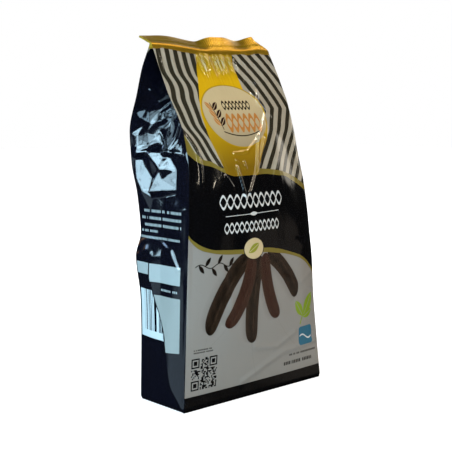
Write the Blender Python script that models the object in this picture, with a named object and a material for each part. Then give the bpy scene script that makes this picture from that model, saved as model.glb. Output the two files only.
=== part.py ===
"""A side-gusseted, block-bottom film bag of whole carob pods, standing on its base.

Lengths are written in millimetres and turned into Blender's metres when a mesh is made.
+Z is up and the origin is on the floor, in the middle of the base. The front panel faces -Y.
The bag stands as it was packed: full of upright pods up to its shoulder, then drawn in to a
crimped seal that leans back, with the two side gussets folded in under it.
"""

import bisect
import math
import random

import bmesh
import bpy
from mathutils import Vector

MM = 0.001

# Driving sizes of the bag
BAG_WIDTH = 150.0
BAG_DEPTH = 52.0
MOUTH_HEIGHT = 269.0
FILM = 0.5
BASE_WALL = 1.8
CLEARANCE = 0.3

# The mouth: four layers of film lie together there, with the folded gussets between two of them
MOUTH_THICKNESS = 3.6
MOUTH_SAG = 3.2
SAG_STARTS_AT = 205.0
FOLD_NOTCH = 0.6

# Mesh divisions of the film, once round and up
PANEL_STEPS = 16
GUSSET_HALF_STEPS = 5
LEVELS = (0, 6, 16, 28, 40, 52, 64, 76, 88, 100, 112, 124, 136, 148, 158, 167, 175,
          183, 191, 199, 207, 215, 223, 232, 241, 250, 260, MOUTH_HEIGHT)

# Where the four standing creases are, as (height, place) pairs
HALF_WIDTH = BAG_WIDTH / 2
HALF_DEPTH = BAG_DEPTH / 2
MOUTH_LEFT = Vector((-78.0, 6.0))
MOUTH_RIGHT = Vector((49.0, 13.0))
HALF_MOUTH = MOUTH_THICKNESS / 2
FRONT_LEFT_X = ((0, -HALF_WIDTH), (60, -73.5), (126, -71), (160, -69), (185, -65.5), (205, -65),
                (235, -71), (MOUTH_HEIGHT, MOUTH_LEFT.x))
FRONT_LEFT_Y = ((0, -HALF_DEPTH), (60, -27), (130, -27), (160, -25.5), (180, -22), (200, -17),
                (220, -10.5), (240, -3.5), (MOUTH_HEIGHT, MOUTH_LEFT.y - HALF_MOUTH))
FRONT_RIGHT_X = ((0, HALF_WIDTH), (36, 70.5), (76, 66.5), (100, 65.6), (130, 62.5), (165, 60.8),
                 (205, 59.7), (228, 60), (245, 57), (MOUTH_HEIGHT, MOUTH_RIGHT.x))
FRONT_RIGHT_Y = ((0, -HALF_DEPTH), (60, -25), (126, -23), (160, -19), (185, -13), (205, -8),
                 (220, -3), (240, 4), (MOUTH_HEIGHT, MOUTH_RIGHT.y - HALF_MOUTH))
BACK_RIGHT_X = ((0, HALF_WIDTH), (60, 72), (126, 68), (158, 65), (183, 64), (205, 62), (235, 60),
                (MOUTH_HEIGHT, MOUTH_RIGHT.x))
BACK_RIGHT_Y = ((0, HALF_DEPTH), (60, 27), (126, 29), (158, 29), (175, 27), (195, 24), (215, 21),
                (235, 19), (MOUTH_HEIGHT, MOUTH_RIGHT.y + HALF_MOUTH))
BACK_LEFT_X = ((0, -HALF_WIDTH), (60, -71.5), (80, -72), (112, -76), (130, -71), (158, -73),
               (183, -76), (230, -80), (250, -80.5), (MOUTH_HEIGHT, MOUTH_LEFT.x))
BACK_LEFT_Y = ((0, HALF_DEPTH), (60, 29), (126, 29), (158, 30), (183, 33), (205, 32), (235, 20),
               (MOUTH_HEIGHT, MOUTH_LEFT.y + HALF_MOUTH))

# How far the contents push the panels out, as (height, distance) pairs
FRONT_BULGE = ((0, 0), (30, 4), (80, 8), (130, 8), (170, 6), (210, 3), (MOUTH_HEIGHT, 0))
BACK_BULGE = ((0, 0), (30, 3), (80, 6), (130, 6), (170, 4), (210, 2), (MOUTH_HEIGHT, 0))
GUSSET_LOBE = ((0, 0), (25, 1.5), (60, 3), (120, 3), (160, 2), (190, 0), (MOUTH_HEIGHT, 0))
BULGE_POWER = 2.4

# The crimped seal: its height, and how far it leans back along its length in degrees
SEAL_HEIGHT = 14.0
SEAL_THICKNESS = 1.3
SEAL_BEND = 2.0
SEAL_ROWS = (0.0, SEAL_BEND, 6.0, 10.0, SEAL_HEIGHT)
SEAL_STEPS = 64
SEAL_LEAN = ((0, 64), (0.2, 53), (0.4, 57), (0.52, 27), (0.6, 27), (0.77, 50), (0.89, 30), (1, 48))
SEAL_END_TUCK = 9.0
SEAL_TUCK_STARTS_AT = 0.86

# The long seam down the back, and the seal folded flat under the base
SEAM_WIDTH = 12.0
SEAM_THICKNESS = 0.5
SEAM_GAP = 0.4
SEAM_STANDS_OFF = 6.0
BASE_SEAL_SIZE = Vector((136.0, 13.0, 0.5))
BASE_SEAL_Y = 12.0
BASE_GROOVE_DEPTH = 1.0
BASE_GROOVE_MARGIN = 1.5

# The pods: six across and four deep, standing on end and nested by their bow
PODS_ACROSS = 6
PODS_DEEP = 4
POD_PITCH_X = 19.6
POD_PITCH_Y = 11.6
PODS_CENTRE_X = -5.6
PODS_CENTRE_Y = 1.2
POD_WIDTH = 18.0
POD_THICKNESS = 11.0
POD_BOW = 4.0
POD_LENGTHS = (148.0, 164.0)
POD_SIDES = 8
POD_RINGS = 11
POD_EDGE_RIDGE = 0.16
POD_SEED_SWELLS = 9
POD_SEED_SWELL = 0.05
POD_TIP_SIZE = 0.22
POD_SEED = 41

# Colours and finishes, as linear red, green and blue, then roughness
FILM_COLOUR = (0.006, 0.007, 0.016)
FILM_ROUGHNESS = 0.22
SEAL_COLOUR = (0.42, 0.24, 0.03)
SEAL_ROUGHNESS = 0.3
POD_COLOURS = ((0.055, 0.022, 0.012), (0.075, 0.03, 0.014), (0.042, 0.017, 0.01))
POD_ROUGHNESS = 0.5


def curve_at(keys, place):
    """A smooth curve through (place, value) pairs that never swings past its own points."""
    places = [key[0] for key in keys]
    values = [key[1] for key in keys]
    steps = [b - a for a, b in zip(places, places[1:])]
    slopes = [(b - a) / step for a, b, step in zip(values, values[1:], steps)]
    tangents = [slopes[0]]
    for before, after in zip(slopes, slopes[1:]):
        turns = before * after <= 0
        tangents.append(0.0 if turns else 2 * before * after / (before + after))
    tangents.append(slopes[-1])
    i = min(max(bisect.bisect_right(places, place) - 1, 0), len(steps) - 1)
    t = min(max((place - places[i]) / steps[i], 0.0), 1.0)
    rise = t * t * (3 - 2 * t)
    leave = t * (1 - t) ** 2 * steps[i] * tangents[i]
    arrive = t * t * (t - 1) * steps[i] * tangents[i + 1]
    return values[i] + (values[i + 1] - values[i]) * rise + leave + arrive


def ease(low, high, value):
    """0 below low, 1 above high and a smooth step between them."""
    t = min(max((value - low) / (high - low), 0.0), 1.0)
    return t * t * (3 - 2 * t)


def crease(x_keys, y_keys, height):
    return Vector((curve_at(x_keys, height), curve_at(y_keys, height)))


def mouth_drop(x, height):
    """The upper film sinks a little in the middle of its length."""
    across = (x - MOUTH_LEFT.x) / (MOUTH_RIGHT.x - MOUTH_LEFT.x)
    across = min(max(across, 0.0), 1.0)
    return MOUTH_SAG * math.sin(math.pi * across) ** 2 * ease(SAG_STARTS_AT, MOUTH_HEIGHT, height)


def panel_points(start, end, bulge, outward, wall):
    """One broad panel of a level ring, from crease to crease, pushed out in the middle."""
    towards = 1 if end.x > start.x else -1
    points = []
    for step in range(PANEL_STEPS + 1):
        u = step / PANEL_STEPS
        x = start.x + (end.x - start.x) * u + towards * wall * (1 - 2 * u)
        swell = bulge * (1 - abs(2 * u - 1) ** BULGE_POWER)
        y = start.y + (end.y - start.y) * u + outward * (swell - wall)
        points.append(Vector((x, y)))
    return points


def left_normal(direction):
    return Vector((-direction.y, direction.x)).normalized()


def gusset_points(start, end, slope, height, outward, wall):
    """One side gusset of a level ring: two halves with lobes, and the fold between them.

    The halves keep their length, so the fold goes in as the front and back come together. It
    stays midway between the two broad panels, which run at this slope from left to right.
    """
    towards = 1 if end.y > start.y else -1
    half_opening = abs(end.y - start.y) / 2
    fold_depth = math.sqrt(max(HALF_DEPTH ** 2 - half_opening ** 2, 0.0))
    fold_x = (start.x + end.x) / 2 - outward * fold_depth
    fold_y = (start.y + end.y) / 2 - outward * fold_depth * slope
    inward = Vector((-outward, 0.0))
    lobe = curve_at(GUSSET_LOBE, height)
    corner_layer = 2 * FILM - wall / 2
    near_corner = Vector((start.x - outward * wall, start.y + towards * corner_layer))
    far_corner = Vector((end.x - outward * wall, end.y - towards * corner_layer))
    near_fold = Vector((fold_x, fold_y - towards * FOLD_NOTCH / 2))
    far_fold = Vector((fold_x, fold_y + towards * FOLD_NOTCH / 2))
    points = []
    for corner, fold, sign in ((near_corner, near_fold, 1), (far_corner, far_fold, -1)):
        normal = left_normal((fold - corner) * sign)
        fold_end = fold + wall * (normal + inward) / (1 + normal.dot(inward))
        half = []
        for step in range(GUSSET_HALF_STEPS + 1):
            s = step / GUSSET_HALF_STEPS
            swell = Vector((outward * lobe * math.sin(math.pi * s), 0.0))
            half.append(corner.lerp(fold_end, s) + swell)
        points += half[::sign]
    return points


def ring(height, wall):
    """All points of one level ring, anticlockwise from above, starting at the front left."""
    front_left = crease(FRONT_LEFT_X, FRONT_LEFT_Y, height)
    front_right = crease(FRONT_RIGHT_X, FRONT_RIGHT_Y, height)
    back_right = crease(BACK_RIGHT_X, BACK_RIGHT_Y, height)
    back_left = crease(BACK_LEFT_X, BACK_LEFT_Y, height)
    run = front_right + back_right - front_left - back_left
    slope = run.y / run.x
    loop = panel_points(front_left, front_right, curve_at(FRONT_BULGE, height), -1, wall)
    loop += gusset_points(front_right, back_right, slope, height, 1, wall)
    loop += panel_points(back_right, back_left, curve_at(BACK_BULGE, height), 1, wall)
    loop += gusset_points(back_left, front_left, slope, height, -1, wall)
    return [Vector((p.x, p.y, height - mouth_drop(p.x, height))) for p in loop]


def make_material(name, colour, roughness):
    material = bpy.data.materials.new(name)
    material.use_nodes = True
    shader = material.node_tree.nodes["Principled BSDF"]
    shader.inputs["Base Color"].default_value = (*colour, 1.0)
    shader.inputs["Roughness"].default_value = roughness
    shader.inputs["Metallic"].default_value = 0.0
    return material


def make_object(name, points, faces, material, sharp_angle=35.0):
    """A named object from millimetre points, shaded smooth between its sharp edges."""
    mesh = bpy.data.meshes.new(name)
    mesh.from_pydata([tuple(Vector(p) * MM) for p in points], [], faces)
    shaper = bmesh.new()
    shaper.from_mesh(mesh)
    bmesh.ops.recalc_face_normals(shaper, faces=shaper.faces)
    shaper.to_mesh(mesh)
    shaper.free()
    mesh.shade_smooth()
    mesh.set_sharp_from_angle(angle=math.radians(sharp_angle))
    mesh.materials.append(material)
    made = bpy.data.objects.new(name, mesh)
    bpy.context.scene.collection.objects.link(made)
    return made


def tube_faces(first, second, points):
    """Triangles between two rings of point numbers.

    Each square is split along the same diagonal, from low and left to high and right, so that
    the two sides of a thin wall bend alike.
    """
    faces = []
    for i in range(len(first)):
        j = (i + 1) % len(first)
        to_the_right = points[first[j]].x >= points[first[i]].x
        upwards = points[second[i]].z >= points[first[i]].z
        if to_the_right == upwards:
            faces += [(first[i], first[j], second[j]), (first[i], second[j], second[i])]
        else:
            faces += [(first[i], first[j], second[i]), (first[j], second[j], second[i])]
    return faces


def row_numbers(rows):
    """Numbers every point of a list of rows and gives the points and the rows of numbers."""
    points = []
    numbers = []
    for row in rows:
        numbers.append(list(range(len(points), len(points) + len(row))))
        points += row
    return points, numbers


def make_film(material):
    outside = [ring(height, 0.0) for height in LEVELS]
    inside = [ring(height, FILM) for height in (BASE_WALL, *LEVELS[1:])]
    points, numbers = row_numbers(outside + inside[::-1])
    faces = []
    for lower, upper in zip(numbers, numbers[1:]):
        faces += tube_faces(lower, upper, points)
    faces.append(tuple(reversed(numbers[0])))
    faces.append(tuple(numbers[-1]))
    film = make_object("bag_film", points, faces, material)

    groove = make_box(
        "base_groove_cutter",
        Vector((BASE_SEAL_SIZE.x + 2 * BASE_GROOVE_MARGIN, BASE_SEAL_SIZE.y + 2 * BASE_GROOVE_MARGIN,
                2 * BASE_GROOVE_DEPTH)),
        Vector((0.0, BASE_SEAL_Y, 0.0)), None)
    groove.hide_render = True
    groove.display_type = "WIRE"
    cut = film.modifiers.new("base_groove", "BOOLEAN")
    cut.operation = "DIFFERENCE"
    cut.solver = "EXACT"
    cut.object = groove
    return film


def make_box(name, size, centre, material):
    mesh = bpy.data.meshes.new(name)
    shaper = bmesh.new()
    bmesh.ops.create_cube(shaper, size=1.0)
    bmesh.ops.scale(shaper, vec=size * MM, verts=shaper.verts)
    shaper.to_mesh(mesh)
    shaper.free()
    if material:
        mesh.materials.append(material)
    box = bpy.data.objects.new(name, mesh)
    box.location = centre * MM
    bpy.context.scene.collection.objects.link(box)
    return box


def seal_section(u):
    """The seal's front and back rows of points at one place along the mouth."""
    lean = math.radians(curve_at(SEAL_LEAN, u))
    foot = MOUTH_LEFT.lerp(MOUTH_RIGHT, u)
    tuck = SEAL_END_TUCK * ease(SEAL_TUCK_STARTS_AT, 1.0, u)
    z = MOUTH_HEIGHT - mouth_drop(foot.x, MOUTH_HEIGHT) + CLEARANCE
    front = []
    back = []
    y = foot.y - HALF_MOUTH
    last_row = 0.0
    for row in SEAL_ROWS:
        angle = lean / 2 if row <= SEAL_BEND else lean
        y += (row - last_row) * math.sin(angle)
        z += (row - last_row) * math.cos(angle)
        last_row = row
        x = foot.x - tuck * row / SEAL_HEIGHT
        front.append(Vector((x, y, z)))
        if row == 0.0:
            back.append(Vector((x, y + MOUTH_THICKNESS, z)))
        else:
            tilt = lean * 0.75 if row <= SEAL_BEND else lean
            back.append(Vector((x, y + SEAL_THICKNESS * math.cos(tilt), z - SEAL_THICKNESS * math.sin(tilt))))
    return front, back


def make_seal(material):
    sections = [seal_section(step / SEAL_STEPS) for step in range(SEAL_STEPS + 1)]
    loops = [front + back[::-1] for front, back in sections]
    points, numbers = row_numbers(loops)
    faces = []
    for left, right in zip(numbers, numbers[1:]):
        count = len(left)
        for i in range(count):
            j = (i + 1) % count
            faces += [(left[i], right[i], right[j]), (left[i], right[j], left[j])]
    rows = len(SEAL_ROWS)
    for end in (numbers[0], numbers[-1]):
        for i in range(rows - 1):
            faces.append((end[i], end[i + 1], end[2 * rows - 2 - i], end[2 * rows - 1 - i]))
    return make_object("top_seal", points, faces, material, 60.0)


def back_surface(x, height):
    """How far back the outside of the back panel is."""
    right = crease(BACK_RIGHT_X, BACK_RIGHT_Y, height)
    left = crease(BACK_LEFT_X, BACK_LEFT_Y, height)
    u = (x - right.x) / (left.x - right.x)
    swell = curve_at(BACK_BULGE, height) * (1 - abs(2 * u - 1) ** BULGE_POWER)
    return right.y + (left.y - right.y) * u + swell


def make_back_seam(material):
    heights = [SEAM_STANDS_OFF] + [level for level in LEVELS[2:-1]]
    rows = []
    for height in heights:
        middle = (MOUTH_LEFT.x + MOUTH_RIGHT.x) / 2 * height / MOUTH_HEIGHT
        loop = []
        for x, stands_off in ((-1, SEAM_GAP), (0, SEAM_GAP), (1, SEAM_GAP),
                              (1, SEAM_GAP + SEAM_THICKNESS), (0, SEAM_GAP + SEAM_THICKNESS),
                              (-1, SEAM_GAP + SEAM_THICKNESS)):
            place = middle + x * SEAM_WIDTH / 2
            z = height - mouth_drop(place, height)
            loop.append(Vector((place, back_surface(place, height) + stands_off, z)))
        rows.append(loop)
    points, numbers = row_numbers(rows)
    faces = []
    for lower, upper in zip(numbers, numbers[1:]):
        faces += tube_faces(lower, upper, points)
    for end in (numbers[0], numbers[-1]):
        faces += [(end[0], end[1], end[4], end[5]), (end[1], end[2], end[3], end[4])]
    return make_object("back_seam", points, faces, material, 30.0)


def pod_radius(t):
    """The pod's size along its length: blunt at the flower end, drawn out at the stem end."""
    rounding = math.sin(math.pi * min(max(0.06 + 0.88 * t, 0.0), 1.0)) ** 0.42
    swells = 1 + POD_SEED_SWELL * math.cos(2 * math.pi * POD_SEED_SWELLS * t)
    return max(rounding * swells / (1 + POD_SEED_SWELL), POD_TIP_SIZE)


def make_pod(number, column, row, draw, material):
    length = draw.uniform(*POD_LENGTHS)
    foot_x = PODS_CENTRE_X + (column - (PODS_ACROSS - 1) / 2) * POD_PITCH_X - POD_BOW / 2
    foot_y = PODS_CENTRE_Y + (row - (PODS_DEEP - 1) / 2) * POD_PITCH_Y
    foot_z = BASE_WALL + 2 * CLEARANCE
    rows = []
    for step in range(POD_RINGS):
        t = step / (POD_RINGS - 1)
        size = pod_radius(t)
        bow = POD_BOW * (1 - (2 * t - 1) ** 2)
        loop = []
        for side in range(POD_SIDES):
            angle = 2 * math.pi * side / POD_SIDES
            ridge = 1 + POD_EDGE_RIDGE * abs(math.cos(angle)) - POD_EDGE_RIDGE
            x = foot_x + bow + POD_WIDTH / 2 * size * math.cos(angle)
            y = foot_y + POD_THICKNESS / 2 * size * ridge * math.sin(angle)
            loop.append(Vector((x, y, foot_z + length * t)))
        rows.append(loop)
    points, numbers = row_numbers(rows)
    faces = []
    for lower, upper in zip(numbers, numbers[1:]):
        faces += tube_faces(lower, upper, points)
    faces.append(tuple(reversed(numbers[0])))
    faces.append(tuple(numbers[-1]))
    return make_object(f"pod_{number:02d}", points, faces, material, 60.0)


def make_pods():
    draw = random.Random(POD_SEED)
    materials = [make_material(f"pod_brown_{i + 1}", colour, POD_ROUGHNESS)
                 for i, colour in enumerate(POD_COLOURS)]
    for number in range(PODS_ACROSS * PODS_DEEP):
        row, column = divmod(number, PODS_ACROSS)
        make_pod(number + 1, column, row, draw, materials[number % len(materials)])


def main():
    for old in list(bpy.data.objects):
        bpy.data.objects.remove(old)
    film_material = make_material("printed_film", FILM_COLOUR, FILM_ROUGHNESS)
    seal_material = make_material("gold_seal", SEAL_COLOUR, SEAL_ROUGHNESS)
    make_film(film_material)
    make_seal(seal_material)
    make_back_seam(film_material)
    base_seal_z = BASE_GROOVE_DEPTH - CLEARANCE - BASE_SEAL_SIZE.z / 2
    make_box("base_seal", BASE_SEAL_SIZE, Vector((0.0, BASE_SEAL_Y, base_seal_z)), film_material)
    make_pods()


main()
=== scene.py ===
"""The looks of a standing film bag of whole carob pods: printed film, crimped gold seal, seams.

Sizes here are in millimetres, in the bag's own frame: +Z up, origin on the floor in the middle of
the base, front panel facing -Y. Meshes are turned into Blender's metres when they are made.
"""

import math

import bpy
import numpy as np
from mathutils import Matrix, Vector
from mathutils.geometry import delaunay_2d_cdt


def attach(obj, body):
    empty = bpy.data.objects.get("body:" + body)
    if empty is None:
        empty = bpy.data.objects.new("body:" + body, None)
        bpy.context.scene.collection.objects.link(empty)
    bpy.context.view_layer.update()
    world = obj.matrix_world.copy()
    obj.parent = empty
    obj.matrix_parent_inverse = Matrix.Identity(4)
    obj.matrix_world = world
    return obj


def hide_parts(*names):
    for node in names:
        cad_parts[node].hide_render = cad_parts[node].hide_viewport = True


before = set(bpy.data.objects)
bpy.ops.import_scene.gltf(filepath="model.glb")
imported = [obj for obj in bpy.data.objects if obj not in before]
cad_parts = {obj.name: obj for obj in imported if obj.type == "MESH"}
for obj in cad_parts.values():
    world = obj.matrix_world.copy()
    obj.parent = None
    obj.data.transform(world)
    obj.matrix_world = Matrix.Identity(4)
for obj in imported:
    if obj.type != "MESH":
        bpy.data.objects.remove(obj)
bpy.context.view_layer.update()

MM = 0.001
TAU = 2 * math.pi

# Where the photograph was taken from, with angles in degrees
CAMERA_PLACE = Vector((-520.9, -553.1, 224.5))
CAMERA_HEADING = 42.79
CAMERA_PITCH = 7.0
SENSOR = 36.0
LENS = 76.86

# The bag's form, as in its solids, but for a flatter GUSSET_LOBE
BAG_WIDTH = 150.0
BAG_DEPTH = 52.0
MOUTH_HEIGHT = 269.0
HALF_WIDTH = BAG_WIDTH / 2
HALF_DEPTH = BAG_DEPTH / 2
MOUTH_THICKNESS = 3.6
HALF_MOUTH = MOUTH_THICKNESS / 2
MOUTH_SAG = 3.2
SAG_STARTS_AT = 205.0
MOUTH_LEFT = (-78.0, 6.0)
MOUTH_RIGHT = (49.0, 13.0)

# The standing creases between floor and mouth, in ring order: which side (-1 is left), which face
# (-1 is front), then places as (height, x) and as (height, y)
CORNERS = {
    "front_left": (
        -1, -1, ((60, -73.5), (126, -71), (160, -69), (185, -65.5), (205, -65), (235, -71)),
        ((60, -27), (130, -27), (160, -25.5), (180, -22), (200, -17), (220, -10.5), (240, -3.5))),
    "front_right": (
        1, -1, ((36, 70.5), (76, 66.5), (100, 65.6), (130, 62.5), (165, 60.8), (205, 59.7), (228, 60),
                (245, 57)),
        ((60, -25), (126, -23), (160, -19), (185, -13), (205, -8), (220, -3), (240, 4))),
    "back_right": (
        1, 1, ((60, 72), (126, 68), (158, 65), (183, 64), (205, 62), (235, 60)),
        ((60, 27), (126, 29), (158, 29), (175, 27), (195, 24), (215, 21), (235, 19))),
    "back_left": (
        -1, 1, ((60, -71.5), (80, -72), (112, -76), (130, -71), (158, -73), (183, -76), (230, -80),
                (250, -80.5)),
        ((60, 29), (126, 29), (158, 30), (183, 33), (205, 32), (235, 20))),
}

# How far the broad panels swell in their middle, and the gussets in the middle of each half
FRONT_BULGE = ((0, 0), (30, 4), (80, 8), (130, 8), (170, 6), (210, 3), (MOUTH_HEIGHT, 0))
BACK_BULGE = ((0, 0), (30, 3), (80, 6), (130, 6), (170, 4), (210, 2), (MOUTH_HEIGHT, 0))
GUSSET_LOBE = ((0, 0), (25, 0.4), (60, 0.9), (110, 1.2), (150, 0.8), (165, 0), (MOUTH_HEIGHT, 0))
BULGE_POWER = 2.4

# The crimped seal, as in its solid. Its lean is in degrees, by share of the mouth's length
SEAL_HEIGHT = 14.0
SEAL_THICKNESS = 1.3
SEAL_BEND = 2.0
SEAL_LEAN = ((0, 64), (0.2, 53), (0.4, 57), (0.52, 27), (0.6, 27), (0.77, 50), (0.89, 30), (1, 48))
SEAL_END_TUCK = 9.0
SEAL_TUCK_STARTS_AT = 0.86
SEAL_CLEARANCE = 0.3

# The seam down the back, as in its solid, but for its top, which runs on up under the seal
SEAM_WIDTH = 12.0
SEAM_THICKNESS = 0.5
SEAM_GAP = 0.4
SEAM_BOTTOM = 6.0
SEAM_TOP = 266.0

# Mesh divisions of the film
FRONT_STEPS = 180
SIDE_STEPS = 72
BACK_STEPS = 66
RIGHT_STEPS = 40
FILM_ROWS = 256

# Paints of the print, and of painted shade on it, as linear red, green and blue
BLACK = (0.0022, 0.0021, 0.0026)
NAVY = (0.0024, 0.0026, 0.006)
GOLD = (0.22, 0.165, 0.03)
SEAL_GOLD = (0.54, 0.32, 0.01)
YELLOW = (0.8, 0.46, 0.006)
# DEEP_YELLOW also paints shade on the lower part of the yellow column
DEEP_YELLOW = (0.26, 0.145, 0.007)
CREAM = (0.68, 0.53, 0.3)
# Painted shade for the lower part of the cream oval
PAINTED_SHADE_CREAM = (0.44, 0.35, 0.22)
LIGHT_STRIPE = (0.45, 0.395, 0.31)
DARK_STRIPE = (0.032, 0.027, 0.016)
PANEL_WHITE = (0.32, 0.295, 0.268)
INK_WHITE = (0.75, 0.74, 0.72)
LABEL_WHITE = (0.32, 0.365, 0.365)
LABEL_BRIGHT = (0.53, 0.61, 0.63)
LABEL_DULL = (0.27, 0.3, 0.29)
OLIVE = (0.26, 0.17, 0.008)
LEAF_GREEN = (0.24, 0.34, 0.025)
TILE_BLUE = (0.035, 0.15, 0.23)
POD_DARK = (0.013, 0.008, 0.005)
POD_RED = (0.04, 0.013, 0.008)
POD_EDGE = (0.08, 0.044, 0.026)
POD_SHADOW = (0.2, 0.18, 0.17)
WARM_BROWN = (0.55, 0.22, 0.05)
OVAL_RING = (0.5, 0.3, 0.01)
BADGE_GREEN = (0.3, 0.3, 0.03)

# Other colours: the real pods' skin, from dark to pale, and the floor
SKIN_DARK = (0.02, 0.008, 0.005)
SKIN_PALE = (0.13, 0.05, 0.025)
FLOOR_WHITE = (0.86, 0.86, 0.86)


# Curves and small number helpers

# How many random knots each side of a table of swells has
LUMP_TABLE = 64


def curve_at(keys, place):
    """A smooth curve through (place, value) pairs that never swings past its own points."""
    places, values = (np.array(column, float) for column in zip(*keys))
    steps = np.diff(places)
    slopes = np.diff(values) / steps
    product = slopes[:-1] * slopes[1:]
    total = np.where(product > 0, slopes[:-1] + slopes[1:], 1.0)
    inner = np.where(product > 0, 2 * product / total, 0.0)
    tangents = np.concatenate((slopes[:1], inner, slopes[-1:]))
    i = np.clip(np.searchsorted(places, place, side="right") - 1, 0, len(steps) - 1)
    t = np.clip((place - places[i]) / steps[i], 0.0, 1.0)
    rise = t * t * (3 - 2 * t)
    leave = t * (1 - t) ** 2 * steps[i] * tangents[i]
    arrive = t * t * (t - 1) * steps[i] * tangents[i + 1]
    return values[i] + (values[i + 1] - values[i]) * rise + leave + arrive


def ease(low, high, value):
    """0 below low, 1 above high and a smooth step between them."""
    t = np.clip((value - low) / (high - low), 0.0, 1.0)
    return t * t * (3 - 2 * t)


def lumps(seed, across, height, pitch_across, pitch_height):
    """Smooth random swells between -1 and 1, with these distances between them."""
    table = np.random.default_rng(seed).uniform(-1, 1, (LUMP_TABLE, LUMP_TABLE))
    a = across / pitch_across + 8
    h = height / pitch_height + 8
    i = np.floor(a).astype(int)
    j = np.floor(h).astype(int)
    s = ease(0, 1, a - i)
    t = ease(0, 1, h - j)

    def knot(right, up):
        return table[(i + right) % LUMP_TABLE, (j + up) % LUMP_TABLE]

    low = knot(0, 0) * (1 - s) + knot(1, 0) * s
    high = knot(0, 1) * (1 - s) + knot(1, 1) * s
    return low * (1 - t) + high * t


def crease_heights(creases, across, height):
    """The raised lines of all creases, each a narrow ridge along its route."""
    total = np.zeros(np.broadcast(across, height).shape)
    for rise, width, route in creases:
        nearest = np.full(total.shape, 1e9)
        for (a1, h1), (a2, h2) in zip(route, route[1:]):
            run = (a2 - a1) ** 2 + (h2 - h1) ** 2
            t = np.clip(((across - a1) * (a2 - a1) + (height - h1) * (h2 - h1)) / run, 0, 1)
            gap = np.hypot(across - a1 - t * (a2 - a1), height - h1 - t * (h2 - h1))
            nearest = np.minimum(nearest, gap)
        total += rise * np.exp(-(nearest / width) ** 2)
    return total


def facets(knots, across, height):
    """Flat facets between (across, height, rise) knots: crumpled film between its sharp folds."""
    flat = [Vector((a, h)) for a, h, _ in knots]
    found = delaunay_2d_cdt(flat, [], [], 0, 1e-6)
    rise = np.zeros(across.shape)
    for triangle in found[2]:
        (a1, h1, r1), (a2, h2, r2), (a3, h3, r3) = (knots[found[3][k][0]] for k in triangle)
        area = (h2 - h3) * (a1 - a3) + (a3 - a2) * (h1 - h3)
        w1 = ((h2 - h3) * (across - a3) + (a3 - a2) * (height - h3)) / area
        w2 = ((h3 - h1) * (across - a3) + (a1 - a3) * (height - h3)) / area
        w3 = 1 - w1 - w2
        inside = (w1 >= -1e-6) & (w2 >= -1e-6) & (w3 >= -1e-6)
        rise = np.where(inside, w1 * r1 + w2 * r2 + w3 * r3, rise)
    return rise


# The film's shape

# The film's creases: how high, how wide, and their route as (across, height) places
FRONT_CREASES = (
    (1.5, 1.3, ((53.9, 180), (60.4, 157.6))),
    (1.6, 1.3, ((91.5, 201.6), (79.6, 177), (67, 160.5))),
    (1.5, 1.3, ((98.9, 200.6), (78.6, 173.8))),
    (0.9, 0.9, ((39.5, 174), (47, 165))),
    (1.0, 0.9, ((53, 190), (72, 191), (91.5, 201.6), (97, 206.5), (112, 222), (101, 236))),
    (1.0, 0.8, ((54, 185), (66, 178.4), (64.6, 183.5))),
    (0.8, 1.9, ((3, 204), (11.8, 193.6), (14, 181.7), (14.1, 168))),
    (0.5, 1.2, ((111, 184), (98.5, 167))),
    (0.5, 1.3, ((125, 120), (134, 113), (146, 110))),
    (0.4, 1.2, ((136, 80), (146, 77))),
    (0.4, 1.2, ((138, 43), (147, 39))),
    (0.4, 0.8, ((108, 246), (116, 240), (121, 230))),
    (0.35, 0.8, ((103, 252), (112, 244))),
    (0.5, 1.2, ((99, 246), (110, 236), (104, 228), (118, 218))),
    (0.4, 1.2, ((112, 240), (107, 232), (116, 226))),
    (0.5, 1.2, ((97, 206.5), (108, 212), (104, 204))),
    (0.8, 2.6, ((58, 14), (84, 24), (104, 30), (146, 33))),
    (0.7, 2.4, ((70, 40), (96, 36), (118, 44))),
    (0.5, 2.6, ((34, 100), (42, 82), (40, 60))),
    (0.4, 2.2, ((104, 92), (126, 84), (148, 92))),
)

SIDE_CREASES = (
    (0.8, 1.3, ((50, 122), (40, 127), (30, 125), (16, 119), (8, 106))),
    (0.45, 1.4, ((49, 114), (41, 118.5), (36, 116))),
    (0.7, 1.0, ((43.5, 237), (36, 228), (31, 231.5))),
    (0.5, 1.0, ((36, 228), (33.6, 224.4), (29.5, 216))),
    (1.5, 1.3, ((30.6, 206.3), (19.4, 192.6))),
    (1.5, 1.3, ((1, 213), (19.4, 192.6))),
    (0.5, 0.9, ((34, 222), (25, 231))),
    (0.5, 0.9, ((31, 217), (22, 225))),
)

# The crumpled shoulder of the left gusset: (across from the front crease, height, rise)
SHOULDER_RIM = ((0, 240, 0), (14, 242, 0), (26, 243, 0), (38, 241, 0), (52, 238, 0), (0, 222, 0),
                (0, 205, 0), (0, 185, 0), (0, 168, 0), (0, 152, 0), (52, 222, 0), (52, 205, 0),
                (52, 188, 0), (52, 170, 0), (52, 150, 0), (14, 150, 0), (26, 148, 0), (39, 147, 0))
STAR_AND_RIDGE = ((43.5, 237, 0.6), (36, 228, 1.6), (29, 231, 0.4), (43, 223.5, -1.4),
                  (35, 223.5, -0.4), (39.5, 213.5, 0.6), (35.4, 213.7, 1.6), (46.5, 216, 1.8),
                  (50.4, 201, 0.5), (46, 204, 1.6), (25, 217, 0.5), (14, 214, 0.8), (9, 224, 0),
                  (20, 226, 0.4), (22, 198, 1.4), (19.4, 192.6, 1.8), (12, 211, 1.0), (28, 210, -0.6),
                  (6, 190, -0.4))
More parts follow.
